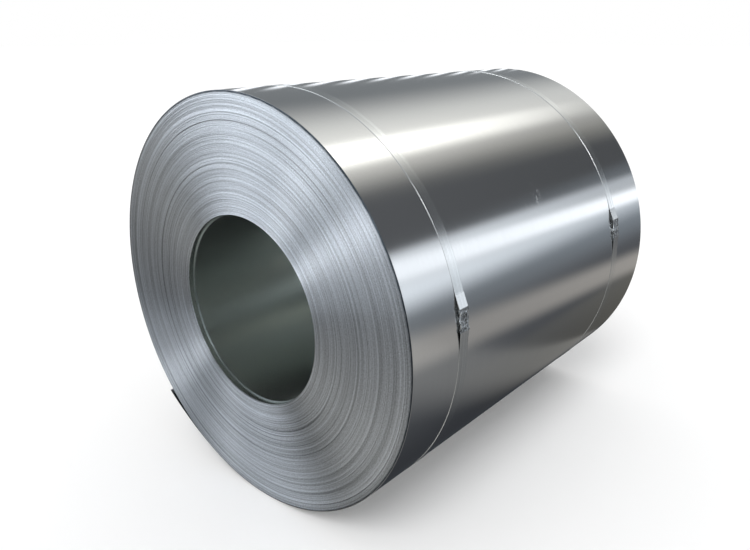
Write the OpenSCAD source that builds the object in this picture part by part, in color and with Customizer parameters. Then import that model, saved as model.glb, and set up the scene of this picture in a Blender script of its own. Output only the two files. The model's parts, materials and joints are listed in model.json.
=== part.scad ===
// Steel coil: cold-rolled strip wound on a lying axis and tied round with two steel straps.
// X runs along the coil's axis, with the end whose inner turns are set back at -X.
// Z is up from the floor, and the coil lies on its straps. Sizes are in millimetres.

/* [Coil] */
// Width of the strip, which is how long the coil is along its axis
coil_width = 1219; // [600:1:2000]
// Outside diameter at the outermost turn
outer_diameter = 1120; // [800:1:1800]
// Diameter of the bore
bore_diameter = 508; // [400:1:620]
// Thickness of the strip
strip_thickness = 1.0; // [0.6:0.1:2.5]

/* [End faces] */
// How many raised rings of turns stand on each end
end_ring_count = 14; // [4:1:24]
// Deepest that a sunken ring of turns lies below the end
end_ring_depth = 2.0; // [0.5:0.1:4]
// Thickness of the pack of innermost turns that is set back at one end
inner_turns_thickness = 3.0; // [1:0.5:8]
// How far those innermost turns are set back
inner_turns_setback = 18; // [4:1:40]

/* [Loose tail of the strip] */
// Angle round the axis where the outermost turn ends, from +Y toward +Z
tail_angle = 319; // [300:1:335]
// Length of the lifted corner along the coil
tail_flare_length = 150; // [60:1:160]
// How far the lifted corner stands out
tail_flare_lift = 20; // [5:1:40]

/* [Straps] */
// Width of a strap
strap_width = 32; // [19:1:40]
// Thickness of a strap
strap_thickness = 0.9; // [0.5:0.1:1.3]
// Distance from the set-back end to the middle of the front strap
front_strap_distance = 183; // [120:1:300]
// Distance from the plain end to the middle of the rear strap
rear_strap_distance = 210; // [60:1:300]
// Height of the strap's underside above the coil at its seal
strap_lift = 3.7; // [2.5:0.1:6]
// Free length of the strap's upper end past the seal
upper_end_length = 34; // [5:1:60]
// Free length of the strap's lower end past the seal
lower_end_length = 16; // [5:1:60]

/* [Seals] */
// Length of a seal along its strap
seal_length = 57; // [40:1:76]
// Thickness of a seal's sheet
seal_wall = 1.0; // [0.6:0.1:1.6]
// Gap between a seal and the strap inside it
seal_clearance = 0.2; // [0.1:0.05:0.4]
// Radius of the crimp notches in a seal's edges
notch_radius = 5; // [3:0.5:6]
// Angle of the front seal round the axis, from +Y toward +Z
front_seal_angle = 173; // [150:0.5:200]
// Angle of the rear seal round the axis, from +Y toward +Z
rear_seal_angle = 169.5; // [150:0.5:200]

/* [Hidden] */
outer_radius = outer_diameter / 2;
bore_radius = bore_diameter / 2;
axis_height = outer_radius + strap_thickness;
// the last few turns, outside the outermost groove
rings_outer_radius = outer_radius - 4 * strip_thickness;
rings_inner_radius = bore_radius + inner_turns_thickness;
ring_edges = 2 * end_ring_count;
ring_step = (rings_outer_radius - rings_inner_radius) / ring_edges;
front_depths = rands(0.3, 1, ring_edges + 1, 11);
rear_depths = rands(0.3, 1, ring_edges + 1, 29);
front_shifts = rands(-0.7, 0, ring_edges + 1, 5);
rear_shifts = rands(-0.7, 0, ring_edges + 1, 17);
front_strap_x = front_strap_distance - coil_width / 2;
rear_strap_x = coil_width / 2 - rear_strap_distance;
flare_reach = min(tail_flare_length, front_strap_distance - strap_width / 2 - 5);
tail_direction = [cos(tail_angle), sin(tail_angle)];
// the half of the coil past the tail's end is wound about this centre, half a strip off the axis
inner_half_centre = -strip_thickness / 2 * tail_direction;
inner_half_radius = outer_radius - strip_thickness / 2;
cut_size = 2 * outer_diameter;
strip_colour = [0.62, 0.63, 0.64];
strap_colour = [0.50, 0.51, 0.52];
seal_colour = [0.56, 0.57, 0.58];
$fn = 180;

// Lays a drawing made in Y and Z along the coil's axis, from x for a length
module along_axis(x, length) {
    translate([x, 0, axis_height])
        rotate([90, 0, 90])
            linear_extrude(length)
                children();
}

// Stands children on the coil's surface: local z outward, y round the coil and x along it
module on_surface(x, angle) {
    translate([x, 0, axis_height])
        rotate([angle - 90, 0, 0])
            translate([0, 0, outer_radius])
                children();
}

// Where ring edge i lies, with a shift of its own so that no two rings are alike
function ring_radius(i, shifts) = rings_inner_radius + ring_step * (i + shifts[i]);

// The grooves of one end, which leave the raised rings between them; depths are measured from the end
module groove_section(shifts, depths) {
    for (i = [1 : 2 : ring_edges - 1])
        translate([ring_radius(i, shifts), -1])
            square([
                ring_radius(i + 1, shifts) - ring_radius(i, shifts),
                1 + end_ring_depth * depths[i]
            ]);
}

// Everything that is cut from the wound coil: its bore, the set-back turns and both ends' grooves
module cut_section() {
    translate([0, -1])
        square([bore_radius, coil_width + 2]);
    translate([0, -1])
        square([rings_inner_radius, 1 + inner_turns_setback]);
    groove_section(front_shifts, front_depths);
    translate([0, coil_width])
        mirror([0, 1])
            groove_section(rear_shifts, rear_depths);
}

// The outermost lap's outline, grown by extra, with the step where the strip ends
module lap_outline(extra) {
    intersection() {
        circle(outer_radius + extra);
        rotate(tail_angle - 180)
            translate([-cut_size / 2, 0])
                square([cut_size, cut_size / 2]);
    }
    intersection() {
        translate(inner_half_centre)
            circle(inner_half_radius + extra);
        rotate(tail_angle)
            translate([-cut_size / 2, 0])
                square([cut_size, cut_size / 2]);
    }
}

// A point of the lifted corner: x from the coil's end, its radius, and the angle before the tail's end
function flare_point(x, r, before) =
    let(angle = tail_angle - 0.1 - before)
    [x - coil_width / 2, r * cos(angle), axis_height + r * sin(angle)];

// The corner of the tail that has sprung outward: a flat ear that leaves the lap at a slight angle
module tail_flare() {
    root = outer_radius - 2;
    tip = outer_radius + tail_flare_lift;
    reach = acos(root / tip);
    outside = [
        flare_point(0.5, root, reach),
        flare_point(flare_reach, root, 0),
        flare_point(0.5, tip, 0)
    ];
    inside = [
        flare_point(0.5, root - strip_thickness, reach),
        flare_point(flare_reach, root - strip_thickness, 0),
        flare_point(0.5, tip - strip_thickness, 0)
    ];
    polyhedron(
        points = concat(outside, inside),
        faces = [
            [0, 1, 2], [5, 4, 3],
            [0, 3, 1], [1, 3, 4],
            [1, 4, 2], [2, 4, 5],
            [2, 5, 0], [0, 5, 3]
        ]
    );
}

module coil() {
    color(strip_colour)
        difference() {
            union() {
                along_axis(-coil_width / 2, coil_width)
                    lap_outline(0);
                tail_flare();
            }
            translate([-coil_width / 2, 0, axis_height])
                rotate([90, 0, 90])
                    rotate_extrude()
                        cut_section();
        }
}

// Corner of the strap's straight run over its seal
function seal_corner(angle, extra, side) =
    (outer_radius + strap_lift + extra) * [cos(angle), sin(angle)]
    + side * seal_length / 2 * [-sin(angle), cos(angle)];

// Where the strap meets the coil again past the seal
function seal_landing(angle, extra, side) =
    let(
        a = seal_corner(angle, extra, side),
        r = outer_radius + extra,
        around = atan2(a[1], a[0]) + side * acos(r / norm(a))
    )
    (r - 0.1) * [cos(around), sin(around)];

// A strap's outline: tight round the coil, straight over the seal and over the step of the tail
module taut_outline(angle, extra) {
    lap_outline(extra);
    polygon([
        [0, 0],
        seal_landing(angle, extra, -1),
        seal_corner(angle, extra, -1),
        seal_corner(angle, extra, 1),
        seal_landing(angle, extra, 1)
    ]);
    edge = (outer_radius + extra) * tail_direction;
    r = inner_half_radius + extra;
    around = tail_angle + acos(r / norm(edge - inner_half_centre));
    polygon([
        [0, 0],
        edge,
        inner_half_centre + (r - 0.05) * [cos(around), sin(around)]
    ]);
}

module notches() {
    for (x = [-1, 1], y = [-1, 1])
        translate([
            x * (strap_width / 2 + seal_clearance + seal_wall),
            y * seal_length / 4,
            -1
        ])
            cylinder(r = notch_radius, h = 20);
}

// One strap, double where its ends overlap in the seal
module strap(x, angle) {
    color(strap_colour)
        difference() {
            along_axis(x - strap_width / 2, strap_width) {
                difference() {
                    taut_outline(angle, strap_thickness);
                    taut_outline(angle, 0);
                }
                intersection() {
                    difference() {
                        taut_outline(angle, 2 * strap_thickness);
                        taut_outline(angle, strap_thickness);
                    }
                    rotate(angle)
                        translate([outer_radius - 20, -seal_length / 2 - upper_end_length])
                            square([60, seal_length + upper_end_length + lower_end_length]);
                }
            }
            on_surface(x, angle)
                notches();
        }
}

// One seal: a folded sleeve over the two strap ends, notched at its edges to lock them
module seal(x, angle) {
    hole = [strap_width + 2 * seal_clearance, 2 * strap_thickness + 2 * seal_clearance];
    w = hole[0] / 2 + seal_wall;
    h = hole[1] + 2 * seal_wall;
    c = seal_wall;
    color(seal_colour)
        on_surface(x, angle)
            difference() {
                translate([0, seal_length / 2, strap_lift - seal_clearance - seal_wall])
                    rotate([90, 0, 0])
                        linear_extrude(seal_length)
                            difference() {
                                polygon([
                                    [-w + c, 0], [w - c, 0], [w, c], [w, h - c],
                                    [w - c, h], [-w + c, h], [-w, h - c], [-w, c]
                                ]);
                                translate([-hole[0] / 2, seal_wall])
                                    square(hole);
                            }
                notches();
            }
}

module strap_front() {
    strap(front_strap_x, front_seal_angle);
}

module strap_rear() {
    strap(rear_strap_x, rear_seal_angle);
}

module seal_front() {
    seal(front_strap_x, front_seal_angle);
}

module seal_rear() {
    seal(rear_strap_x, rear_seal_angle);
}

coil();
strap_front();
strap_rear();
seal_front();
seal_rear();
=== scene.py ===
"""Looks for a coil of bright cold-rolled steel strip, tied round with two sealed steel straps."""

import json
import math
import random

import bmesh
import bpy
from bpy.props import (
    FloatProperty,
    FloatVectorProperty,
    IntProperty,
    PointerProperty,
)
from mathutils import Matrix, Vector


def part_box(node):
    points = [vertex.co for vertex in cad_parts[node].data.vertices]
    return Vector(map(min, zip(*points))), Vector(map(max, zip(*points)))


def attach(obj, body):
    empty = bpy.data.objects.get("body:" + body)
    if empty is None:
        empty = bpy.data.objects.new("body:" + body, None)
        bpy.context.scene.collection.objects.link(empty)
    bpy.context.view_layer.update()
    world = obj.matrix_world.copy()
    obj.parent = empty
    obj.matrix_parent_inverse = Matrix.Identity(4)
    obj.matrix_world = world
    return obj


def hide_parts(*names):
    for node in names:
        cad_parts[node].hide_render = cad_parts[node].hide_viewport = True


bl_info = {
    "name": "Strapped steel coil",
    "version": (1, 0, 0),
    "blender": (4, 5, 0),
    "location": "View3D > Sidebar > Steel coil",
    "description": "Builds the turns, straps, seals and stage of a strapped coil of steel strip",
    "category": "Object",
}

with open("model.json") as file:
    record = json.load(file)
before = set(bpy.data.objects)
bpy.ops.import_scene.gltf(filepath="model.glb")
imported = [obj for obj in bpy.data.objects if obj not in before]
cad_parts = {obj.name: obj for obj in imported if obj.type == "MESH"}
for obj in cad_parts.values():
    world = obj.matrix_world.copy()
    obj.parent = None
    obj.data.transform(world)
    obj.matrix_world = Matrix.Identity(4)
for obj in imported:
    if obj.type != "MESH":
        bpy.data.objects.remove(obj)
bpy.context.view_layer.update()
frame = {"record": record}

# Places and fixed sizes that the CAD settles, in metres
BORE = next(m for m in frame["record"]["mounts"] if m["name"] == "bore")
AXIS_Z = BORE["pos_m"][2]
BORE_RADIUS = BORE["dims"]["r_mm"] / 1000
COIL_LOW, COIL_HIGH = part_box("coil")
OUTER_RADIUS = AXIS_Z - COIL_LOW[2]
FRONT_X, REAR_X = COIL_LOW[0], COIL_HIGH[0]
STRAP_NODES = {"front": ("strap_front", "seal_front"), "rear": ("strap_rear", "seal_rear")}


def linear(code):
    """An sRGB hex colour as linear red, green and blue."""
    parts = [int(code[i : i + 2], 16) / 255 for i in (1, 3, 5)]
    return tuple(c / 12.92 if c <= 0.04045 else ((c + 0.055) / 1.055) ** 2.4 for c in parts)


def colour_property(name, description, code):
    return FloatVectorProperty(
        name=name, description=description, subtype="COLOR", size=3, min=0, max=1, default=linear(code)
    )


def length_property(name, description, millimetres):
    return FloatProperty(
        name=name, description=description, subtype="DISTANCE", unit="LENGTH", default=millimetres / 1000
    )


def angle_property(name, description, degrees):
    return FloatProperty(
        name=name,
        description=description, subtype="ANGLE", unit="ROTATION", default=math.radians(degrees)
    )


class CoilStripSettings(bpy.types.PropertyGroup):
    """Sizes and colours of the wound strip"""

    thickness: length_property(
        "Strip thickness", "Thickness of the strip, which is the pitch of its turns", 1.0
    )
    turn_segments: IntProperty(
        name="Segments a turn",
        description="Straight pieces that one turn's edge is made of", default=80, min=24
    )
    lap_segments: IntProperty(
        name="Segments of the last turn",
        description="Straight pieces round the last turn", default=360, min=72
    )
    edge_depth: length_property("Edge depth", "How deep each turn's edge goes behind the end", 3.0)
    edge_wander: length_property(
        "Edge wander", "How far the turns wander in and out of line on an end", 1.3
    )
    inner_turns: IntProperty(
        name="Set-back turns",
        description="Innermost turns that are set back at the front", default=3, min=1
    )
    setback: length_property("Set back", "How far the innermost turns are set back at the front", 18)
    tail_angle: angle_property("Tail angle", "Where the last turn ends, from +Y toward +Z", 319)
    flare_angle: angle_property(
        "Flare angle", "Angle before the tail's end where its corner starts to lift", 25
    )
    flare_length: length_property("Flare length", "Length of the lifted corner along the coil", 145)
    flare_lift: length_property("Flare lift", "How far the tip of the corner stands out", 19)
    sheet: colour_property("Strip surface", "Bright rolled face of the strip", "#D4D5D5")
    edges: colour_property("Slit edges", "Slit edges of the turns on the ends", "#C3C8CD")
    inner: colour_property(
        "Set-back edges", "Slit edges of the set-back turns, in shade and dulled", "#8C9494"
    )
    # the rim colour is painted shade: a dark line along the front rim where only shade falls
    rim: colour_property("Rim", "Oil-darkened shoulder of the outermost turns", "#3F474E")
    bore: colour_property("Bore", "Inside face of the strip, dulled by a film of mill oil", "#D2D7D4")


class CoilStrapSettings(bpy.types.PropertyGroup):
    """Sizes and colours of the straps and their seals"""

    thickness: length_property("Strap thickness", "Thickness of the strapping", 0.9)
    lift: length_property(
        "Lift at the seal", "Height of the strap's underside above the coil at its seal", 3.7
    )
    tilt: length_property("Tilt of the seal", "How much higher the seal's upper end stands", 2.4)
    seal_length: length_property("Seal length", "Length of a seal along its strap", 57)
    seal_wall: length_property("Seal wall", "Thickness of a seal's sheet", 1.0)
    upper_end: length_property("Upper free end", "Length of the strap's upper end past the seal", 34)
    lower_end: length_property("Lower free end", "Length of the strap's lower end past the seal", 16)
    front_angle: angle_property("Front seal angle", "Place of the front seal, from +Y toward +Z", 173)
    rear_angle: angle_property("Rear seal angle", "Place of the rear seal, from +Y toward +Z", 169.5)
    strap: colour_property("Strapping", "Bare steel strapping", "#D6D8D8")
    seal: colour_property("Seal", "Pressed steel of the seals", "#B4B9BD")


class CoilStageSettings(bpy.types.PropertyGroup):
    """Floor, light and camera"""

    floor: colour_property("Floor", "Plain pale floor", "#F4F4F4")
    ambient: FloatProperty(
        name="Soft light", description="Strength of the light from all round", default=0.90
    )
    key: FloatProperty(name="Key light", description="Strength of the soft key light", default=1.25)
    reflections: FloatProperty(
        name="Reflections",
        description="Brightness of the soft panels that the steel mirrors", default=1.28
    )
    camera_azimuth: angle_property("Camera azimuth", "Bearing that the camera looks from", -51.45)
    camera_elevation: angle_property(
        "Camera elevation", "Height angle that the camera looks down from", 19.22
    )


# ---------------------------------------------------------------- small helpers

MATH = "ShaderNodeMath"
VECTOR_MATH = "ShaderNodeVectorMath"
MAP_RANGE = "ShaderNodeMapRange"
COMBINE = "ShaderNodeCombineXYZ"
SEPARATE = "ShaderNodeSeparateXYZ"
NOISE = "ShaderNodeTexNoise"


def add_node(tree, kind, *values, output=0, named=None, **settings):
    """Adds a node with its settings, and sets or links its inputs, in order and by name.

    Gives back one of the node's outputs, or all of them if output is None."""
    made = tree.nodes.new(kind)
    for name, value in settings.items():
        setattr(made, name, value)
    for key, value in (*enumerate(values), *(named or {}).items()):
        if isinstance(value, bpy.types.NodeSocket):
            tree.links.new(value, made.inputs[key])
        else:
            made.inputs[key].default_value = value
    return made.outputs if output is None else made.outputs[output]


def fill_ramp(ramp_node, stops):
    """Gives a colour ramp its stops: (position, linear colour) pairs in rising order."""
    elements = ramp_node.color_ramp.elements
    while len(elements) > 1:
        elements.remove(elements[-1])
    elements[0].position = stops[0][0]
    elements[0].color = (*stops[0][1], 1)
    for position, colour in stops[1:]:
        elements.new(position).color = (*colour, 1)


def new_mesh_object(name, vertices, faces, smooth=True):
    mesh = bpy.data.meshes.new(name)
    mesh.from_pydata(vertices, [], faces)
    mesh.validate()
    mesh.update()
    if smooth:
        mesh.polygons.foreach_set("use_smooth", [True] * len(mesh.polygons))
    piece = bpy.data.objects.new(name, mesh)
    bpy.context.scene.collection.objects.link(piece)
    return piece


def point_outward(mesh, merge=True, close_ends=False):
    """Turns a closed mesh's faces outward, after merging its doubles and filling its small open ends."""
    work = bmesh.new()
    work.from_mesh(mesh)
    if merge:
        bmesh.ops.remove_doubles(work, verts=work.verts, dist=1e-7)
    if close_ends:
        bmesh.ops.holes_fill(work, edges=[e for e in work.edges if e.is_boundary], sides=8)
    bmesh.ops.recalc_face_normals(work, faces=work.faces)
    work.to_mesh(mesh)
    work.free()
    mesh.update()


def finish_piece(piece, material, slot, *nodes):
    """Gives a piece its material and its body, and hides the CAD nodes that it stands for; slot is not
    used.
    """
    piece.data.materials.clear()
    piece.data.materials.append(material)
    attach(piece, "root")
    if nodes:
        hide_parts(*nodes)


def on_axis(x, radius, angle):
    return (x, radius * math.cos(angle), AXIS_Z + radius * math.sin(angle))


def lap_radius(angle, tail_angle, thickness):
    """Outside radius of the last turn: two half circles half a strip apart, with the tail's step."""
    past_tail = (angle - tail_angle) % (2 * math.pi)
    if past_tail >= math.pi:
        return OUTER_RADIUS
    offset = -thickness / 2
    radius = OUTER_RADIUS - thickness / 2
    along = offset * math.cos(past_tail)
    across = offset * math.sin(past_tail)
    return along + math.sqrt(radius**2 - across**2)


def turned_apart(angle, centre):
    """Signed angle from centre to angle, from -180 to 180 degrees."""
    return (angle - centre + math.pi) % (2 * math.pi) - math.pi


# ---------------------------------------------------------------- materials

# Lines and grains a metre. Rolling lines and turn edges are 1 mm apart or less and the steel's grain is
# about 0.1 mm, too fine to show, so the lines are drawn 3, 8 and 6 mm apart and the grain 3 mm wide.
FINE_LINES, BROAD_LINES, PROUD_LINES = 360, 120, 160
GRAIN = 330.0
# the dents of crumpled steel are about 10 mm wide
DENTS = 95.0
# Toward the side where the turns' edges are painted lighter, high on the side of the seals; the other
# way they are painted darker, as painted shade
PAINTED_LIT_SIDE = (0, -0.5, 0.85)
# Scale of the scuff along x, y and z: it has faded out 29, 114 and 73 mm from its middle
SCUFF_SQUEEZE = (55, 14, 22)
SCUFF_ROUGHENING = 0.22


def round_the_axis(tree):
    """Object coordinates from the axis, x along the coil, the radius, and the direction from the axis,
    which goes round without a seam."""
    place = add_node(tree, "ShaderNodeTexCoord", output="Object")
    centred = add_node(tree, "ShaderNodeMapping", named={"Vector": place, "Location": (0, 0, -AXIS_Z)})
    x, y, z = add_node(tree, SEPARATE, centred, output=None)
    across = add_node(tree, COMBINE, 0.0, y, z)
    radius = add_node(tree, VECTOR_MATH, across, output="Value", operation="LENGTH")
    inverse = add_node(tree, MATH, 1.0, radius, operation="DIVIDE")
    unit = add_node(tree, VECTOR_MATH, across, named={"Scale": inverse}, operation="SCALE")
    return centred, x, radius, unit


def line_noise(tree, across, unit, lines_per_metre, drift, detail):
    """Noise that is fine across the lines and drifts slowly along them, without a seam."""
    fine = add_node(tree, MATH, across, lines_per_metre, operation="MULTIPLY")
    slow = add_node(tree, VECTOR_MATH, unit, named={"Scale": drift}, operation="SCALE")
    _, y, z = add_node(tree, SEPARATE, slow, output=None)
    place = add_node(tree, COMBINE, fine, y, z)
    wanted = {"Vector": place, "Scale": 1.0, "Detail": detail, "Roughness": 0.6}
    return add_node(tree, NOISE, output="Fac", named=wanted)


def new_material(name):
    material = bpy.data.materials.new(name)
    material.use_nodes = True
    material.node_tree.nodes.clear()
    return material, material.node_tree


def shade_steel(tree, base, roughness, anisotropy, **more):
    """Ends a steel's tree: bare metal whose highlights are drawn out by lines round the axis."""
    wanted = {
        "Base Color": base,
        "Metallic": 1.0,
        "Roughness": roughness,
        "Anisotropic": anisotropy,
        "Anisotropic Rotation": 0.25,
        "Tangent": add_node(tree, "ShaderNodeTangent", direction_type="RADIAL", axis="X"),
        **more,
    }
    principled = add_node(tree, "ShaderNodeBsdfPrincipled", named=wanted)
    add_node(tree, "ShaderNodeOutputMaterial", principled, output=None)


def lined_steel(
    name,
    colour,
    spread,
    roughness,
    anisotropy,
    bump,
    contrast,
    grain,
    scuff=None,
    crumple=False,
    painted_side_shade=0.0,
):
    """A bare steel whose lines run round the axis.

    spread is "x" where the lines are spread along the coil, or "radius" where they are spread along its
    radius. roughness is the low and high value that the lines vary between, bump a height in metres,
    contrast how far the lines darken and lighten the steel, and grain the same for fine speckle.
    scuff is the middle of a small scuffed place. crumple makes the speckle coarse and dents the steel,
    so that a strong speckle paints highlights on its bumps and shade in its dents.
    The last argument paints light and shade by side: it sets how far the steel is painted darker toward
    the coil's foot and +Y, and lighter high on the seals' side."""
    material, tree = new_material(name)
    centred, x, radius, unit = round_the_axis(tree)
    across = x if spread == "x" else radius
    fine = line_noise(tree, across, unit, FINE_LINES, 0.55, 2.0)
    fine = add_node(tree, MAP_RANGE, fine, 0.36, 0.64, -1.0, 1.0)
    broad = line_noise(tree, across, unit, BROAD_LINES, 0.4, 3.0)
    broad = add_node(tree, MAP_RANGE, broad, 0.36, 0.64, -1.0, 1.0)
    # a few turns stand out from the rest as dark lines
    proud = line_noise(tree, across, unit, PROUD_LINES, 0.3, 1.0)
    proud = add_node(tree, MAP_RANGE, proud, 0.62, 0.68, 0.0, 1.0)
    fine_share = add_node(tree, MATH, fine, 0.7, operation="MULTIPLY")
    broad_share = add_node(tree, MATH, broad, 0.3, operation="MULTIPLY")
    lines = add_node(tree, MATH, fine_share, broad_share, operation="ADD")
    lines = add_node(tree, MATH, lines, proud, operation="SUBTRACT")
    wanted = {"Vector": centred, "Scale": DENTS if crumple else GRAIN, "Detail": 3.0, "Roughness": 0.7}
    speckle = add_node(tree, NOISE, output="Fac", named=wanted)
    speckle = add_node(tree, MAP_RANGE, speckle, 0.3, 0.7, -1.0, 1.0)

    lined = add_node(tree, MATH, lines, contrast, operation="MULTIPLY")
    grained = add_node(tree, MATH, speckle, grain, operation="MULTIPLY")
    gain = add_node(tree, MATH, lined, grained, operation="ADD")
    # painted light and shade by side: darker toward the foot and +Y, lighter toward the seals' side
    if painted_side_shade:
        side_shade = add_node(tree, VECTOR_MATH, unit, PAINTED_LIT_SIDE, output="Value", operation="DOT_PRODUCT")
        side_shade = add_node(tree, MATH, side_shade, painted_side_shade, operation="MULTIPLY")
        gain = add_node(tree, MATH, gain, side_shade, operation="ADD")
    gain = add_node(tree, MATH, gain, 1.0, operation="ADD")
    tinted = add_node(tree, VECTOR_MATH, colour, named={"Scale": gain}, operation="SCALE")
    rough = add_node(tree, MAP_RANGE, lines, -1.0, 1.0, roughness[1], roughness[0])
    if scuff:
        away = add_node(tree, VECTOR_MATH, centred, scuff, operation="SUBTRACT")
        drawn = add_node(tree, VECTOR_MATH, away, SCUFF_SQUEEZE, operation="MULTIPLY")
        reach = add_node(tree, VECTOR_MATH, drawn, output="Value", operation="LENGTH")
        reach = add_node(tree, MAP_RANGE, reach, 0.3, 1.6, 1.0, 0.0)
        wanted = {"Vector": drawn, "Scale": 1.6, "Detail": 4.0, "Roughness": 0.7}
        marks = add_node(tree, NOISE, output="Fac", named=wanted)
        marks = add_node(tree, MAP_RANGE, marks, 0.5, 0.6, 0.0, 1.0)
        worn = add_node(tree, MATH, reach, marks, operation="MULTIPLY")
        worn = add_node(tree, MATH, worn, SCUFF_ROUGHENING, operation="MULTIPLY")
        rough = add_node(tree, MATH, rough, worn, operation="ADD")
    wanted = {"Height": speckle if crumple else lines, "Strength": 1.0, "Distance": bump}
    normal = add_node(tree, "ShaderNodeBump", named=wanted)
    shade_steel(tree, tinted, rough, anisotropy, Normal=normal)
    return material


def steel_edges(name, colour):
    # slit edges of cold-rolled strip: pale, matt and slightly blue, lined by every turn,
    # with a fan of light that follows the turns because their lines run round the bore
    return lined_steel(
        name,
        tuple(colour),
        "radius",
        roughness=(0.36, 0.46),
        anisotropy=1.0,
        bump=0.0003,
        contrast=0.34,
        grain=0.34,
        # painted shade toward the foot and +Y, and painted light toward the seals' side
        painted_side_shade=0.18,
    )


def steel_bore(name, colour):
    # the inner face under a film of mill oil: darker and greener than the outside, and all one colour
    # and roughness, so that what shows on it is the soft bands that it mirrors
    material, tree = new_material(name)
    shade_steel(tree, (*colour, 1), roughness=0.27, anisotropy=0.4)
    return material


def steel_sheet(name, colour):
    # cold-rolled bright face: mirrors its surroundings as soft bands, drawn out a little along the
    # coil by rolling lines that run round it, with one small scuff from handling
    scuffed = math.radians(151)
    middle = (0.0, OUTER_RADIUS * math.cos(scuffed), OUTER_RADIUS * math.sin(scuffed))
    return lined_steel(
        name,
        tuple(colour),
        "x",
        roughness=(0.11, 0.14),
        anisotropy=0.4,
        bump=0.000001,
        contrast=0.008,
        grain=0.018,
        scuff=middle,
    )


def steel_strapping(name, colour):
    # bare rolled strapping: like the coil but duller
    return lined_steel(
        name,
        tuple(colour),
        "x",
        roughness=(0.16, 0.24),
        anisotropy=0.4,
        bump=0.00001,
        contrast=0.08,
        grain=0.05,
    )


def steel_seal(name, colour):
    # pressed steel, whose strong coarse speckle paints highlights on its bumps and shade in its dents
    return lined_steel(
        name,
        tuple(colour),
        "x",
        roughness=(0.10, 0.22),
        anisotropy=0.0,
        bump=0.0026,
        contrast=0.20,
        grain=0.85,
        crumple=True,
    )


# ---------------------------------------------------------------- the turns

# Points across a ribbon of strip: the back of its inner face, two on its edge, one behind its outer
# face, and the first again, which closes it
RIBBON_ROWS = 5
# Share of its pitch that a turn fills, so that a thin dark gap shows between turns
TURN_FILL = 0.985
# Turns that the dark shoulder at the front rim stands for
RIM_TURNS = 3
# Corners of that shoulder: how far each lies behind the front end, and inside the last turn
RIM_PROFILE = (
    (0.0004, 0.0040),
    (0.0012, 0.0024),
    (0.0020, 0.0006),
    (0.0026, 0.0001),
    (0.0060, 0.0001),
    (0.0060, 0.0040),
)
# How far the turns stay inside the ends of the CAD's coil
END_GAP = 0.0001


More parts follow.
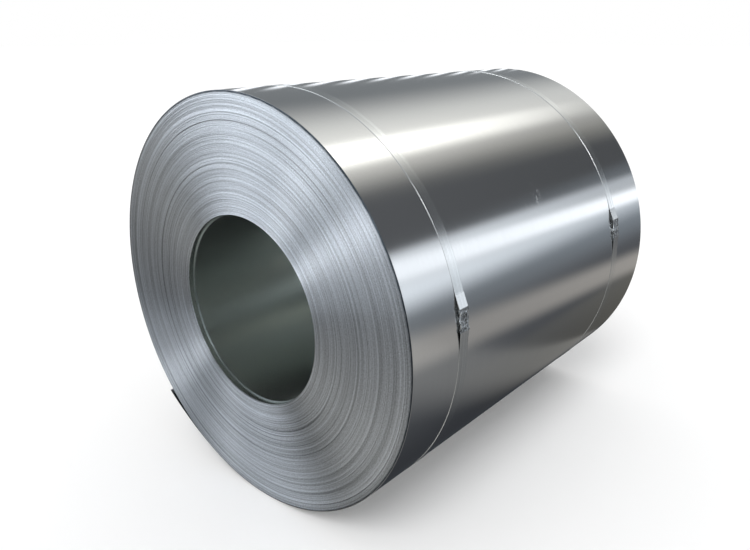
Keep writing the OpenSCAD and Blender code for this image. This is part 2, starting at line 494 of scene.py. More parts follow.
def turn_edges_tree():
    """Geometry nodes for the edge of the strip as it winds outward in a true spiral."""
    tree = bpy.data.node_groups.new("Turn edges", "GeometryNodeTree")
    sockets = {}
    for name, kind, default in (
        ("Start radius", "NodeSocketFloat", BORE_RADIUS),
        ("Thickness", "NodeSocketFloat", 0.001),
        ("Turns", "NodeSocketInt", 10),
        ("Segments", "NodeSocketInt", 80),
        ("Depth", "NodeSocketFloat", 0.003),
        ("Wander", "NodeSocketFloat", 0.001),
        ("Start angle", "NodeSocketFloat", 0.0),
        ("End x", "NodeSocketFloat", 0.0),
        ("Inward", "NodeSocketFloat", 1.0),
        ("Seed", "NodeSocketFloat", 0.0),
        ("Axis height", "NodeSocketFloat", AXIS_Z),
        ("Material", "NodeSocketMaterial", None),
    ):
        made = tree.interface.new_socket(name, in_out="INPUT", socket_type=kind)
        if default is not None:
            made.default_value = default
        sockets[name] = made
    tree.interface.new_socket("Geometry", in_out="OUTPUT", socket_type="NodeSocketGeometry")
    given = add_node(tree, "NodeGroupInput", output=None)

    segments = add_node(tree, MATH, given["Turns"], given["Segments"], operation="MULTIPLY")
    columns = add_node(tree, MATH, segments, 1.0, operation="ADD")
    wanted = {"Vertices X": columns, "Vertices Y": RIBBON_ROWS}
    grid = add_node(tree, "GeometryNodeMeshGrid", output="Mesh", named=wanted)
    index = add_node(tree, "GeometryNodeInputIndex")
    # half a point is added so that rounding never puts a point in the column before its own
    column = add_node(tree, MATH, index, 0.5, operation="ADD")
    column = add_node(tree, MATH, column, float(RIBBON_ROWS), operation="DIVIDE")
    column = add_node(tree, MATH, column, operation="FLOOR")
    row = add_node(tree, MATH, column, float(RIBBON_ROWS), operation="MULTIPLY")
    row = add_node(tree, MATH, index, row, operation="SUBTRACT")
    turned = add_node(tree, MATH, column, given["Segments"], operation="DIVIDE")
    # rows 2 and 3 are on the outer face, and rows 0, 3 and 4 are behind the edge
    outer_face = add_node(tree, MATH, row, 2.5, operation="SUBTRACT")
    outer_face = add_node(tree, MATH, outer_face, operation="ABSOLUTE")
    outer_face = add_node(tree, MATH, outer_face, 0.75, operation="LESS_THAN")
    behind = add_node(tree, MATH, row, 1.5, operation="SUBTRACT")
    behind = add_node(tree, MATH, behind, operation="ABSOLUTE")
    behind = add_node(tree, MATH, behind, 0.75, operation="GREATER_THAN")
    radius = add_node(tree, MATH, outer_face, TURN_FILL, operation="MULTIPLY")
    radius = add_node(tree, MATH, turned, radius, operation="ADD")
    radius = add_node(tree, MATH, given["Thickness"], radius, operation="MULTIPLY")
    radius = add_node(tree, MATH, given["Start radius"], radius, operation="ADD")
    angle = add_node(tree, MATH, turned, math.tau, operation="MULTIPLY")
    angle = add_node(tree, MATH, given["Start angle"], angle, operation="ADD")

    # single turns wander a little, and groups of about nine turns wander together by more
    set_in = []
    for per_turn, detail, seed, share in ((0.83, 0.0, 3.1, 0.30), (0.115, 2.0, 41.7, 0.70)):
        place = add_node(tree, MATH, turned, per_turn, operation="MULTIPLY")
        seeded = add_node(tree, MATH, given["Seed"], seed, operation="ADD")
        place = add_node(tree, MATH, place, seeded, operation="ADD")
        wanted = {"W": place, "Scale": 1.0, "Detail": detail}
        noise = add_node(tree, NOISE, output="Fac", named=wanted, noise_dimensions="1D")
        set_in.append(add_node(tree, MATH, noise, share, operation="MULTIPLY"))
    along = add_node(tree, MATH, *set_in, operation="ADD")
    along = add_node(tree, MATH, given["Wander"], along, operation="MULTIPLY")
    depth = add_node(tree, MATH, behind, given["Depth"], operation="MULTIPLY")
    along = add_node(tree, MATH, along, depth, operation="ADD")
    along = add_node(tree, MATH, given["Inward"], along, operation="MULTIPLY")
    along = add_node(tree, MATH, given["End x"], along, operation="ADD")
    y = add_node(tree, MATH, angle, operation="COSINE")
    y = add_node(tree, MATH, radius, y, operation="MULTIPLY")
    z = add_node(tree, MATH, angle, operation="SINE")
    z = add_node(tree, MATH, radius, z, operation="MULTIPLY")
    z = add_node(tree, MATH, given["Axis height"], z, operation="ADD")

    wanted = {"Geometry": grid, "Position": add_node(tree, COMBINE, along, y, z)}
    shape = add_node(tree, "GeometryNodeSetPosition", named=wanted)
    wanted = {"Geometry": shape, "Distance": 1e-7}
    shape = add_node(tree, "GeometryNodeMergeByDistance", named=wanted)
    shape = add_node(tree, "GeometryNodeRealizeInstances", shape)
    wanted = {"Geometry": shape, "Shade Smooth": False}
    shape = add_node(tree, "GeometryNodeSetShadeSmooth", named=wanted)
    wanted = {"Geometry": shape, "Material": given["Material"]}
    shape = add_node(tree, "GeometryNodeSetMaterial", named=wanted)
    add_node(tree, "NodeGroupOutput", shape, output=None)
    return tree, {name: made.identifier for name, made in sockets.items()}


def turn_edges(name, tree, identifiers, material, values):
    """One stretch of turns' edges on one end, as a plain mesh."""
    holder = bpy.data.objects.new(name + "_source", bpy.data.meshes.new(name + "_source"))
    bpy.context.scene.collection.objects.link(holder)
    modifier = holder.modifiers.new("Turn edges", "NODES")
    modifier.node_group = tree
    for key, value in values.items():
        modifier[identifiers[key]] = value
    modifier[identifiers["Material"]] = material
    bpy.context.view_layer.update()
    made = holder.evaluated_get(bpy.context.evaluated_depsgraph_get())
    mesh = bpy.data.meshes.new_from_object(made)
    mesh.name = name
    holder.modifiers.remove(modifier)
    bpy.data.objects.remove(holder)
    point_outward(mesh, close_ends=True)
    piece = bpy.data.objects.new(name, mesh)
    bpy.context.scene.collection.objects.link(piece)
    return piece


def spiral_sleeve(name, start_radius, wall, x_low, x_high, start_angle, thickness):
    """A closed tube whose inside follows the spiral, with a step one strip high where it starts."""
    segments = 180
    vertices, faces = [], []
    for i in range(segments + 1):
        part = i / segments
        angle = start_angle + math.tau * part
        inside = start_radius + thickness * part
        outside = start_radius + wall
        vertices += [
            on_axis(x_low, inside, angle),
            on_axis(x_high, inside, angle),
            on_axis(x_high, outside, angle),
            on_axis(x_low, outside, angle),
        ]
    for i in range(segments):
        for k in range(4):
            a, b = 4 * i + k, 4 * i + (k + 1) % 4
            faces.append((a, b, b + 4, a + 4))
    last = 4 * segments
    faces.append((0, 3, 2, 1))
    faces.append((last, last + 1, last + 2, last + 3))
    piece = new_mesh_object(name, vertices, faces)
    point_outward(piece.data, merge=False)
    # only the long faces are smooth, not the ends of the tube or the step
    for polygon in piece.data.polygons:
        polygon.use_smooth = abs(polygon.normal.x) < 0.5 and polygon.area > 1e-5
    piece.data.set_sharp_from_angle(angle=math.radians(40))
    return piece


def turned_ring(name, profile, segments):
    """A ring turned round the axis from a closed profile of (x, radius) corners."""
    sides = len(profile)
    vertices, faces = [], []
    for i in range(segments):
        for x, radius in profile:
            vertices.append(on_axis(x, radius, math.tau * i / segments))
    for i in range(segments):
        here, there = i * sides, (i + 1) % segments * sides
        for k in range(sides):
            after = (k + 1) % sides
            faces.append((here + k, here + after, there + after, there + k))
    piece = new_mesh_object(name, vertices, faces)
    point_outward(piece.data)
    piece.data.set_sharp_from_angle(angle=math.radians(50))
    return piece


class STEELCOIL_OT_turns(bpy.types.Operator):
    """Build the edges of every turn on both ends, and the turns that line the bore"""

    bl_idname = "steelcoil.turns"
    bl_label = "Turns and bore"

    def execute(self, context):
        sizes = context.scene.coil_strip
        step = sizes.thickness
        # every turn but the last, which is a piece of its own
        whole = round((OUTER_RADIUS - BORE_RADIUS) / step) - 1
        edge_steel = steel_edges("slit_edge_steel", sizes.edges)
        bore_steel = steel_bore("oiled_bore_steel", sizes.bore)
        # the set-back turns' edges take a darker colour, which is painted shade in their recess
        recess_shade_steel = steel_edges("dull_inner_edge_steel", sizes.inner)
        # the pressed-back shoulder is painted much darker than the turns inside, as painted shade along
        # the front rim
        rim_shade_steel = steel_edges("oil_darkened_rim_steel", sizes.rim)
        tree, identifiers = turn_edges_tree()
        flush_radius = BORE_RADIUS + sizes.inner_turns * step
        flush_turns = whole - sizes.inner_turns - RIM_TURNS
        set_back_x = FRONT_X + sizes.setback
        wander = sizes.edge_wander
        # name, finish, start radius, turns, wander, end x, way inward and seed
        for name, finish, *row in (
            ("set_back_turns", recess_shade_steel, BORE_RADIUS, sizes.inner_turns, 0.0002, set_back_x, 1.0, 7.0),
            ("front_turns", edge_steel, flush_radius, flush_turns, wander, FRONT_X + END_GAP, 1.0, 20.0),
            ("rear_turns", edge_steel, BORE_RADIUS, whole, wander, REAR_X - END_GAP, -1.0, 77.0),
        ):
            values = dict(zip(("Start radius", "Turns", "Wander", "End x", "Inward", "Seed"), row))
            values["Thickness"] = step
            values["Segments"] = sizes.turn_segments
            values["Depth"] = sizes.edge_depth
            values["Start angle"] = sizes.tail_angle
            piece = turn_edges(name, tree, identifiers, finish, values)
            finish_piece(piece, finish, "strip", "coil")

        tail = sizes.tail_angle
        low, high = set_back_x + 0.0006, REAR_X - 0.002
        lining = spiral_sleeve("bore_turns", BORE_RADIUS, 0.0028, low, high, tail, step)
        finish_piece(lining, bore_steel, "strip", "coil")
        # the outermost turns are pressed back into a round shoulder
        shoulder = OUTER_RADIUS - step
        corners = [(FRONT_X + behind, shoulder - inside) for behind, inside in RIM_PROFILE]
        finish_piece(turned_ring("rim_turns", corners, 360), rim_shade_steel, "strip", "coil")
        # the first flush turn curls over at the bore's mouth, and lines it in front of the set-back
        lip, lip_x, sides = 0.0014, FRONT_X + 0.0015, 10
        corners = []
        for k in range(sides):
            turn = math.tau * k / sides
            corners.append((lip_x + lip * math.cos(turn), flush_radius + lip + lip * math.sin(turn)))
        finish_piece(turned_ring("bore_mouth_lip", corners, 240), edge_steel, "strip", "coil")
        low, high = FRONT_X + 0.0022, set_back_x + 0.006
        lining = spiral_sleeve("bore_mouth_turn", flush_radius, 0.004, low, high, tail, step)
        finish_piece(lining, bore_steel, "strip", "coil")
        return {"FINISHED"}


# ---------------------------------------------------------------- the last turn


class STEELCOIL_OT_last_turn(bpy.types.Operator):
    """Build the last turn as one sheet that ends in a step, with its front corner sprung outward"""

    bl_idname = "steelcoil.last_turn"
    bl_label = "Last turn"

    def execute(self, context):
        sizes = context.scene.coil_strip
        sheet_steel = steel_sheet("bright_cold_rolled_steel", sizes.sheet)
        step = sizes.thickness
        start = sizes.tail_angle - math.tau
        count = sizes.lap_segments
        width = REAR_X - FRONT_X
        # distances along the coil: close together where the corner lifts, and wide apart behind it
        rows = [0.0022, 0.0025, 0.008, 0.02, 0.04, 0.06, 0.08, 0.10, 0.12, 0.14, 0.16, 0.2]
        rows += [0.2 + (width - 0.2) * k / 20 for k in range(1, 20)]
        rows += [width - 0.0003, width]

        def lifted(along, angle):
            reach = max(0.0, 1 - along / sizes.flare_length)
            swung = max(0.0, 1 - (sizes.tail_angle - angle) / sizes.flare_angle)
            return sizes.flare_lift * reach**2 * swung**2

        # the sheet is a hair thinner than the strip, so that it never touches the turn under it
        thin = step - 0.00002
        vertices, faces = [], []
        for side in (0, 1):
            for i in range(count + 1):
                angle = start + math.tau * i / count
                # the angle is kept just inside the tail, so that the step falls between first and last
                measured = min(max(angle, start + 1e-6), sizes.tail_angle - 1e-6)
                base = lap_radius(measured, sizes.tail_angle, step)
                for along in rows:
                    radius = base + lifted(along, angle) - side * thin
                    vertices.append(on_axis(FRONT_X + along, radius, angle))
        per = len(rows)
        far = (count + 1) * per
        for i in range(count):
            for j in range(per - 1):
                a = i * per + j
                faces.append((a, a + per, a + per + 1, a + 1))
                faces.append((far + a, far + a + 1, far + a + per + 1, far + a + per))
            for j in (0, per - 1):
                a = i * per + j
                faces.append((a, far + a, far + a + per, a + per))
        for i in (0, count):
            for j in range(per - 1):
                a = i * per + j
                faces.append((a, a + 1, far + a + 1, far + a))
        piece = new_mesh_object("last_turn", vertices, faces)
        point_outward(piece.data)
        piece.data.set_sharp_from_angle(angle=math.radians(40))
        finish_piece(piece, sheet_steel, "strip", "coil")
        return {"FINISHED"}


# ---------------------------------------------------------------- straps and seals

# How far the tip of a strap's upper end is bent down below where a tight strap would lie
END_DROP = 0.0026
# Places of a seal's two pairs of notches along it, as shares of its length, and their size in metres
NOTCH_PLACES = (-0.27, 0.25)
NOTCH_HALF_LENGTH, NOTCH_DEPTH, NOTCH_PRESS = 0.0052, 0.0048, 0.0026
# Dents in a seal: how many, their reach along it in metres, and their reach across as a share of its
# half width
DENT_COUNT, DENT_LENGTH, DENT_SHARE = 44, 0.0034, 0.22


def taut_radius(angle, extra, seal_angle, straps, strip):
    """Radius of a strap grown by extra: tight round the coil, straight over the tail's step, and lifted
    over its seal, more at the seal's upper end, where its free end is bent down again."""
    radius = lap_radius(angle, strip.tail_angle, strip.thickness) + extra
    tight = OUTER_RADIUS + extra
    half = straps.seal_length / 2
    # corners of the lifted stretch, as places along the seal (upward) and heights above the axis
    corners = [
        (-half, tight + straps.lift),
        (half, tight + straps.lift + straps.tilt),
        (half + straps.upper_end, tight - END_DROP),
    ]
    turned = -turned_apart(angle, seal_angle)
    for (along, height), (next_along, next_height) in zip(corners, corners[1:]):
        if math.atan2(along, height) <= turned <= math.atan2(next_along, next_height):
            fall = (next_height - height) / (next_along - along)
            return (height - fall * along) / (math.cos(turned) - fall * math.sin(turned))
    for (along, height), side in ((corners[0], -1), (corners[2], 1)):
        lean = side * math.atan2(along, height)
        run = math.acos(min(1.0, tight / math.hypot(along, height)))
        if lean < side * turned < lean + run:
            return max(radius, tight / math.cos(lean + run - side * turned))
    past = turned_apart(angle, strip.tail_angle)
    bridge = math.acos((tight - strip.thickness) / tight)
    if 0 <= past < bridge:
        return max(radius, (tight - strip.thickness) / math.cos(bridge - past))
    return radius


def strap_band(name, x_middle, width, low, angles, thickness):
    """A closed band with rounded edges that follows low(angle), capped if it isn't a loop."""
    half = width / 2
    edge = thickness * 0.3
    profile = [
        (-half + edge, 0.0),
        (half - edge, 0.0),
        (half, edge),
        (half, thickness - edge),
        (half - edge, thickness),
        (0.0, thickness),
        (-half + edge, thickness),
        (-half, thickness - edge),
        (-half, edge),
    ]
    size = len(profile)
    vertices, faces = [], []
    for angle in angles:
        for across, up in profile:
            vertices.append(on_axis(x_middle + across, low(angle) + up, angle))
    looped = abs(angles[-1] - angles[0]) > math.tau - 0.05
    stations = len(angles)
    for i in range(stations if looped else stations - 1):
        here, there = i * size, (i + 1) % stations * size
        for k in range(size):
            after = (k + 1) % size
            faces.append((here + k, here + after, there + after, there + k))
    if not looped:
        faces.append(tuple(range(size)))
        faces.append(tuple((stations - 1) * size + k for k in reversed(range(size))))
    piece = new_mesh_object(name, vertices, faces)
    point_outward(piece.data)
    piece.data.set_sharp_from_angle(angle=math.radians(30))
    return piece


class STEELCOIL_OT_straps(bpy.types.Operator):
    """Build both straps, tight round the coil and double under their seals"""

    bl_idname = "steelcoil.straps"
    bl_label = "Straps"

    def execute(self, context):
        straps, strip = context.scene.coil_straps, context.scene.coil_strip
        strap_steel = steel_strapping("bare_steel_strapping", straps.strap)
        thickness = straps.thickness
        for which, seal_angle in (("front", straps.front_angle), ("rear", straps.rear_angle)):
            node, _ = STRAP_NODES[which]
            low_corner, high_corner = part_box(node)
            middle = (low_corner[0] + high_corner[0]) / 2
            width = high_corner[0] - low_corner[0]
            half = straps.seal_length / 2
            # a station stands at each corner of the lifted stretch, so that it stays sharp
            corners = [
                -math.atan2(-half, OUTER_RADIUS + straps.lift),
                -math.atan2(half, OUTER_RADIUS + straps.lift + straps.tilt),
                -math.atan2(half + straps.upper_end, OUTER_RADIUS - END_DROP),
            ]
            angles = sorted([math.tau * (k - 270) / 540 for k in range(540)] + corners)
            angles = [seal_angle + angle for angle in angles]

            def under(angle):
                return taut_radius(angle, 0.0, seal_angle, straps, strip)

            ring = strap_band("strap_" + which + "_ring", middle, width, under, angles, thickness)
            finish_piece(ring, strap_steel, "strap", node)
            upper = -corners[2] - 0.001
            lower = corners[0] + straps.lower_end / OUTER_RADIUS
            overlap = sorted([-upper + (upper + lower) * k / 60 for k in range(61)] + corners[:2])
            overlap = [seal_angle + angle for angle in overlap]

            # the end on top is a hair narrower and thinner, so that the two layers never touch
            def over(angle):
                return taut_radius(angle, thickness, seal_angle, straps, strip) + 0.00002

            name = "strap_" + which + "_end"
            end = strap_band(name, middle, width - 0.0004, over, overlap, thickness - 0.00004)
            finish_piece(end, strap_steel, "strap", node)
        return {"FINISHED"}


def seal_sleeve(name, x_middle, angle, width, straps, seed):
    """A crimped seal: a folded sleeve open at both ends, cut and bent in at its notches, and dented."""
    picker = random.Random(seed)
    length, wall = straps.seal_length, straps.seal_wall
    half_width = width / 2 + 0.0002 + wall
    middle = OUTER_RADIUS + straps.lift + straps.tilt / 2 + straps.thickness - 0.0002
    half_height = straps.thickness + wall + 0.0001
    lean = straps.tilt / length
    stations, around = 76, 72
    notches = [length * place for place in NOTCH_PLACES]
    dents = [
        (picker.uniform(-length / 2, length / 2), picker.uniform(-1, 1), picker.uniform(-0.0026, 0.0006))
        for _ in range(DENT_COUNT)
    ]
    vertices, faces = [], []
    for i in range(stations + 1):
        along = length * (i / stations - 0.5)
        for k in range(around):
            turn = math.tau * k / around
            # a flat tube: a circle stretched until its sides are nearly straight
            side = math.copysign(abs(math.cos(turn)) ** 0.45, math.cos(turn))
            rise = math.copysign(abs(math.sin(turn)) ** 0.35, math.sin(turn))
            near_edge = abs(side) ** 5
            away = (abs(along - notch - 0.0012 * side) for notch in notches)
            cut = max(0.0, *(1 - distance / NOTCH_HALF_LENGTH for distance in away))
            # the edges are drawn in a little between the notches too
            swell = math.cos(math.tau * (along - notches[0]) / (notches[1] - notches[0]))
            across = side * (half_width - (NOTCH_DEPTH * cut**0.8 + 0.0006 * (1 + swell)) * near_edge)
            up = rise * half_height
            up -= math.copysign(NOTCH_PRESS, rise) * cut * abs(side) ** 1.5
            if rise > 0:
                for at, place, size in dents:
                    reach = ((along - at) / DENT_LENGTH) ** 2 + ((side - place) / DENT_SHARE) ** 2
                    up += size * math.exp(-reach)
                # one side of the top is folded over the other
                up += 0.0004 if side > 0.1 else 0.0
            up = min(up, half_height + 0.0002)
            if rise > 0 and abs(side) < 0.94:
                # dents stop at the strap's end inside
                up = max(up, straps.thickness + 0.0004)
            # along grows toward larger angles, down the coil's side
            height = middle + up - lean * along
            y = height * math.cos(angle) - along * math.sin(angle)
            z = height * math.sin(angle) + along * math.cos(angle)
            vertices.append((x_middle + across, y, AXIS_Z + z))
    for i in range(stations):
        for k in range(around):
            a, b = i * around + k, i * around + (k + 1) % around
            faces.append((a, b, b + around, a + around))
    piece = new_mesh_object(name, vertices, faces)
    work = bmesh.new()
    work.from_mesh(piece.data)
    bmesh.ops.recalc_face_normals(work, faces=work.faces)
    # an open tube can come out inside out, so its faces are checked against its middle
    centre = sum((face.calc_center_median() for face in work.faces), start=Vector()) / len(work.faces)
    if sum((face.calc_center_median() - centre).dot(face.normal) for face in work.faces) < 0:
        bmesh.ops.reverse_faces(work, faces=work.faces)
    work.to_mesh(piece.data)
    work.free()
    piece.data.set_sharp_from_angle(angle=math.radians(32))
    shell = piece.modifiers.new("Wall", "SOLIDIFY")
    shell.thickness = wall * 0.8
    shell.offset = -1
    return piece


class STEELCOIL_OT_seals(bpy.types.Operator):
    """Build both seals as crimped and notched sleeves"""

    bl_idname = "steelcoil.seals"
    bl_label = "Seals"

    def execute(self, context):
        straps = context.scene.coil_straps
        finish = steel_seal("crimped_seal_steel", straps.seal)
        for which, angle, seed in (("front", straps.front_angle, 4), ("rear", straps.rear_angle, 9)):
            strap_node, seal_node = STRAP_NODES[which]
            low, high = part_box(strap_node)
            x_middle, width = (low[0] + high[0]) / 2, high[0] - low[0]
            piece = seal_sleeve("seal_" + which + "_sleeve", x_middle, angle, width, straps, seed)
            finish_piece(piece, finish, "seal", seal_node)
        return {"FINISHED"}


# ---------------------------------------------------------------- stage

# Soft panels that the steel mirrors toward the coil's rear, each a stretch of the circle round its axis.
# Four angles from +Y toward +Z say where the panel starts to rise, is full, starts to fall and has
# ended. Then come its lean in degrees for each unit of slope, its colour, and its brightness at the
# front and at the rear.
PANELS_AHEAD = (
    ("tall_grey_wall", (-20, -8, 60, 118), 0, "#7B7F82", 0.90, 1.00),
    ("window_glow", (36, 88, 90, 118), -3, "#F6F4EE", 0.86, 0.44),
    ("rear_glow", (30, 48, 60, 84), 0, "#F6F4EE", 0.00, 0.16),
    ("lamp_line", (78, 85, 91, 100), -3, "#FFFDF6", 1.00, 0.05),
    ("warm_haze", (96, 107, 111, 125), 0, "#8A8880", 0.18, 0.46),
    ("low_grey_wall", (96, 118, 178, 290), 0, "#55575A", 1.00, 0.80),
    ("cool_haze", (141, 152, 156, 170), 0, "#7C868F", 0.00, 0.26),
    ("cool_door", (150, 157, 175, 192), 5, "#E4EAF1", 0.84, 0.46),
    ("cool_line", (158, 163, 168, 174), 12, "#F7FAFF", 0.32, 0.85),
    ("cool_floor", (168, 178, 186, 212), 8, "#7C868F", 0.42, 0.60),
    ("warm_bench", (203, 216, 222, 235), 26, "#8A857E", 0.66, 1.08),
    ("floor_band", (266, 277, 300, 345), 167, "#6A6966", 0.72, 0.66),
    ("rear_floor", (236, 246, 290, 300), 0, "#757060", 0.00, 0.42),
    ("ground", (297, 335, 345, 365), -20, "#8F8B7C", 0.00, 1.90),
    ("deep_ground", (175, 215, 400, 401), 0, "#333539", 0.95, 0.95),
    ("far_ground", (-61, -60, -26, -12), 0, "#34383C", 0.95, 0.95),
)

# A row of lamps over the coil, seen as short slanting glints near its top
LAMP_ROW = ((-14, -5, 9, 19), "#F4F7FC", 1.1)

# Toward the front: how bright each height is, from straight down to straight up, on the seals' side (-Y)
# and on the far side (+Y)
HEIGHTS_NEAR = (
    (-1.0, "#DCDAD6", 1.8),
    (-0.75, "#B6B4B0", 1.2),
    (-0.5, "#A3A2A1", 1.0),
    (-0.3, "#9C9C9C", 1.0),
    (-0.1, "#727476", 1.0),
    (0.0, "#C2C6CB", 1.0),
    (0.08, "#F0F3F8", 1.1),
    (0.2, "#F0F4F9", 1.0),
    (0.35, "#EEF2F8", 0.85),
    (0.6, "#C4C9CF", 1.0),
    (1.0, "#B8BCC2", 1.0),
)
HEIGHTS_FAR = (
    (-1.0, "#DCDAD6", 1.0),
    (-0.75, "#55585A", 1.0),
    (-0.5, "#26282B", 1.0),
    (-0.3, "#26282B", 1.0),
    (-0.1, "#74787C", 1.0),
    (0.0, "#F0F3F8", 1.8),
    (0.08, "#F0F3F8", 2.2),
    (0.2, "#F0F4F9", 2.2),
    (0.35, "#EEF2F8", 1.75),
    (0.6, "#EEF2F8", 1.6),
    (1.0, "#EEF2F8", 2.0),
)
# Lamps toward the front, which draw bright rays across the turns' edges: direction, radius where the
# glow ends and where it is full in degrees, colour and brightness
LAMPS_BEHIND = (
    ((-0.857, 0.45, 0.25), 8.0, 4.0, "#FBFCFF", 3.3),
    ((-0.856, -0.317, 0.41), 10.0, 5.0, "#FBFCFF", 8.0),
)


# Slopes along the coil where a panel has its front and its rear brightness, then the least and most
# slope that a panel's lean follows and the slope where a leaning panel crosses its own angles
FRONT_SLOPE, REAR_SLOPE = 1.0, 2.0
LEAN_LEAST, LEAN_MOST, LEAN_MIDDLE = 0.8, 2.3, 1.4
# The row of lamps: how many stand in each unit of slope, and how they slant with each degree
LAMPS_A_SLOPE, LAMP_SLANT = 11.0, 0.04


def build_world(stage):
    """Plain white to the eye, with soft panels for the steel to mirror and even light for the floor."""
    world = bpy.data.worlds.new("soft_panels")
    bpy.context.scene.world = world
    world.use_nodes = True
    tree = world.node_tree
    tree.nodes.clear()
    way = add_node(tree, "ShaderNodeTexCoord", output="Generated")
    x, y, z = add_node(tree, SEPARATE, way, output=None)
    soft = {"interpolation_type": "SMOOTHSTEP"}

    def add_light(light, code, strength):
        """Adds light of one colour onto other light, if there is any yet."""
        part = add_node(tree, VECTOR_MATH, linear(code), named={"Scale": strength}, operation="SCALE")
        return part if light is None else add_node(tree, VECTOR_MATH, light, part, operation="ADD")

    # degrees from -90 to 270, so that the cut lies straight down
    bare = add_node(tree, MATH, z, y, operation="ARCTAN2")
    bare = add_node(tree, MATH, bare, math.tau, operation="DIVIDE")
    bare = add_node(tree, MATH, bare, 1.25, operation="ADD")
    bare = add_node(tree, MATH, bare, operation="FRACT")
    bare = add_node(tree, MATH, bare, 360, operation="MULTIPLY")
    bare = add_node(tree, MATH, bare, 90.0, operation="SUBTRACT")
    # past straight down the circle goes on, so the lowest panels are found on either side of the cut
    degrees = add_node(tree, MATH, bare, -60.0, operation="LESS_THAN")
    degrees = add_node(tree, MATH, degrees, 360, operation="MULTIPLY")
    degrees = add_node(tree, MATH, bare, degrees, operation="ADD")
    slope = add_node(tree, COMBINE, 0.0, y, z)
    slope = add_node(tree, VECTOR_MATH, slope, output="Value", operation="LENGTH")
    slope = add_node(tree, MATH, slope, 0.05, operation="MAXIMUM")
    slope = add_node(tree, MATH, x, slope, operation="DIVIDE")
    toward_rear = add_node(tree, MATH, slope, LEAN_LEAST, operation="MAXIMUM")
    toward_rear = add_node(tree, MATH, toward_rear, LEAN_MOST, operation="MINIMUM")
    toward_rear = add_node(tree, MATH, toward_rear, LEAN_MIDDLE, operation="SUBTRACT")
    ahead = None
    for _, (start, full, falling, end), lean, code, front, rear in PANELS_AHEAD:
        leant = degrees
        if lean:
            leant = add_node(tree, MATH, toward_rear, lean, operation="MULTIPLY")
            leant = add_node(tree, MATH, degrees, leant, operation="SUBTRACT")
        rise = add_node(tree, MAP_RANGE, leant, start, full, 0.0, 1.0, **soft)
        fall = add_node(tree, MAP_RANGE, leant, falling, end, 1.0, 0.0, **soft)
        share = add_node(tree, MATH, rise, fall, operation="MULTIPLY")
        strength = add_node(tree, MAP_RANGE, slope, FRONT_SLOPE, REAR_SLOPE, front, rear)
        share = add_node(tree, MATH, share, strength, operation="MULTIPLY")
        ahead = add_light(ahead, code, share)
    (start, full, falling, end), code, strength = LAMP_ROW
    spacing = add_node(tree, MATH, slope, LAMPS_A_SLOPE, operation="MULTIPLY")
    slant = add_node(tree, MATH, bare, LAMP_SLANT, operation="MULTIPLY")
    spacing = add_node(tree, MATH, spacing, slant, operation="ADD")
    glint = add_node(tree, MATH, spacing, 0.5, operation="PINGPONG")
    glint = add_node(tree, MAP_RANGE, glint, 0.18, 0.42, 0.0, strength, **soft)
    rise = add_node(tree, MAP_RANGE, bare, start, full, 0.0, 1.0, **soft)
    glint = add_node(tree, MATH, glint, rise, operation="MULTIPLY")
    fall = add_node(tree, MAP_RANGE, bare, falling, end, 1.0, 0.0, **soft)
    glint = add_node(tree, MATH, glint, fall, operation="MULTIPLY")
    ahead = add_light(ahead, code, glint)

    height = add_node(tree, MAP_RANGE, z, -1.0, 1.0, 0.0, 1.0)
    ramps = []
    for rows in (HEIGHTS_NEAR, HEIGHTS_FAR):
        ramp = add_node(tree, "ShaderNodeValToRGB", height)
        stops = [((at + 1) / 2, tuple(c * gain for c in linear(code))) for at, code, gain in rows]
        fill_ramp(ramp.node, stops)
        ramps.append(ramp)
    far_share = add_node(tree, MAP_RANGE, y, 0.25, 0.85, 0.0, 1.0, **soft)
    wanted = {"Factor": far_share, 6: ramps[0], 7: ramps[1]}
    behind = add_node(tree, "ShaderNodeMix", output=2, named=wanted, data_type="RGBA")
    for toward, outside, inside, code, strength in LAMPS_BEHIND:
        facing = add_node(tree, VECTOR_MATH, way, toward, output="Value", operation="DOT_PRODUCT")
        facing = add_node(tree, MATH, facing, math.hypot(*toward), operation="DIVIDE")
        edge, core = math.cos(math.radians(outside)), math.cos(math.radians(inside))
        glow = add_node(tree, MAP_RANGE, facing, edge, core, 0.0, strength, **soft)
        behind = add_light(behind, code, glow)
    rear_share = add_node(tree, MAP_RANGE, x, -0.24, -0.06, 0.0, 1.0, **soft)
    wanted = {"Factor": rear_share, 6: behind, 7: ahead}
    mirrored = add_node(tree, "ShaderNodeMix", output=2, named=wanted, data_type="RGBA")

    white = (1, 1, 1, 1)
    seen = add_node(tree, "ShaderNodeBackground", white, 1.0)
    panels = add_node(tree, "ShaderNodeBackground", mirrored, stage.reflections)
    even = add_node(tree, "ShaderNodeBackground", white, stage.ambient)
    path = add_node(tree, "ShaderNodeLightPath", output=None)
    lit = add_node(tree, "ShaderNodeMixShader", path["Is Glossy Ray"], even, panels)
    whole = add_node(tree, "ShaderNodeMixShader", path["Is Camera Ray"], lit, seen)
    add_node(tree, "ShaderNodeOutputWorld", whole, output=None)


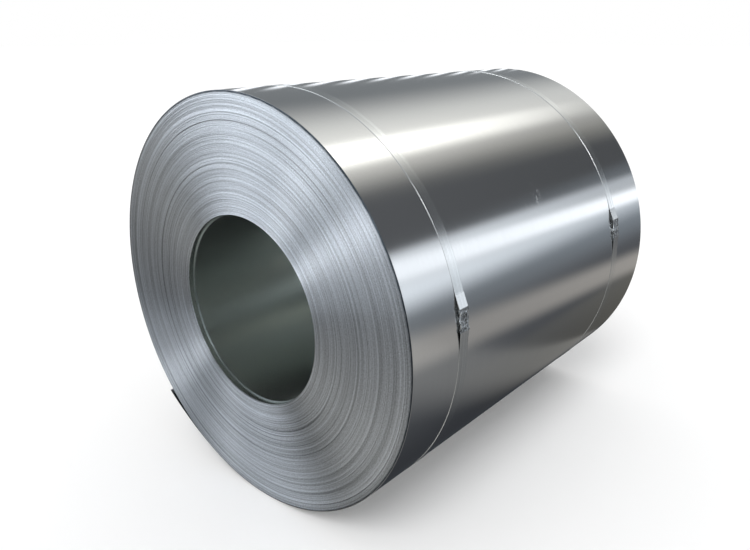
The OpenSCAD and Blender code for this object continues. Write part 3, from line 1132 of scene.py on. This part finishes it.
class STEELCOIL_OT_stage(bpy.types.Operator):
    """Set out the plain floor, the soft light and the camera"""

    bl_idname = "steelcoil.stage"
    bl_label = "Stage"

    def execute(self, context):
        stage = context.scene.coil_stage
        context.scene.view_settings.view_transform = "Standard"
        build_world(stage)
        # the floor lies a hair under the straps, so that the two never flicker
        far, under = 60.0, -0.0002
        corners = [(-far, -far, under), (far, -far, under), (far, far, under), (-far, far, under)]
        floor = new_mesh_object("stage_floor", corners, [(0, 1, 2, 3)], smooth=False)
        material = bpy.data.materials.new("plain_pale_floor")
        material.use_nodes = True
        shader = material.node_tree.nodes["Principled BSDF"]
        shader.inputs["Base Color"].default_value = (*stage.floor, 1)
        shader.inputs["Roughness"].default_value = 0.9
        shader.inputs["Specular IOR Level"].default_value = 0.0
        floor.data.materials.append(material)
        floor.visible_glossy = False
        key = bpy.data.objects.new("key_light", bpy.data.lights.new("key_light", "SUN"))
        key.data.energy = stage.key
        key.data.angle = math.radians(28)
        key.rotation_euler = (math.radians(38), 0, math.radians(-62))
        key.visible_glossy = False
        context.scene.collection.objects.link(key)
        camera = bpy.data.objects.new("camera", bpy.data.cameras.new("camera"))
        camera.data.sensor_width = 36.0
        camera.data.lens = 32.89
        camera.data.shift_x = -0.0693
        camera.data.shift_y = -0.0067
        camera.data.clip_end = 200
        camera.location = (FRONT_X - 0.9922, -1.3893, AXIS_Z + 0.6887)
        camera.rotation_euler = (
            math.pi / 2 - stage.camera_elevation,
            0,
            stage.camera_azimuth,
        )
        context.scene.collection.objects.link(camera)
        context.scene.camera = camera
        return {"FINISHED"}


class STEELCOIL_PT_panel(bpy.types.Panel):
    """Buttons that build each part of the coil"""

    bl_idname = "STEELCOIL_PT_panel"
    bl_label = "Steel coil"
    bl_space_type = "VIEW_3D"
    bl_region_type = "UI"
    bl_category = "Steel coil"

    def draw(self, context):
        for operator in OPERATORS:
            self.layout.operator(operator.bl_idname)
        for group in ("coil_strip", "coil_straps", "coil_stage"):
            box = self.layout.box()
            settings = getattr(context.scene, group)
            for name in settings.__annotations__:
                box.prop(settings, name)


GROUPS = {
    "coil_strip": CoilStripSettings,
    "coil_straps": CoilStrapSettings,
    "coil_stage": CoilStageSettings,
}
OPERATORS = (
    STEELCOIL_OT_stage,
    STEELCOIL_OT_turns,
    STEELCOIL_OT_last_turn,
    STEELCOIL_OT_straps,
    STEELCOIL_OT_seals,
)


def register():
    for name, group in GROUPS.items():
        bpy.utils.register_class(group)
        setattr(bpy.types.Scene, name, PointerProperty(type=group))
    for part in (*OPERATORS, STEELCOIL_PT_panel):
        bpy.utils.register_class(part)


def unregister():
    for part in (STEELCOIL_PT_panel, *reversed(OPERATORS)):
        bpy.utils.unregister_class(part)
    for name, group in GROUPS.items():
        delattr(bpy.types.Scene, name)
        bpy.utils.unregister_class(group)


def main():
    register()
    bpy.ops.steelcoil.stage()
    bpy.ops.steelcoil.turns()
    bpy.ops.steelcoil.last_turn()
    bpy.ops.steelcoil.straps()
    bpy.ops.steelcoil.seals()


if __name__ == "__main__":
    main()
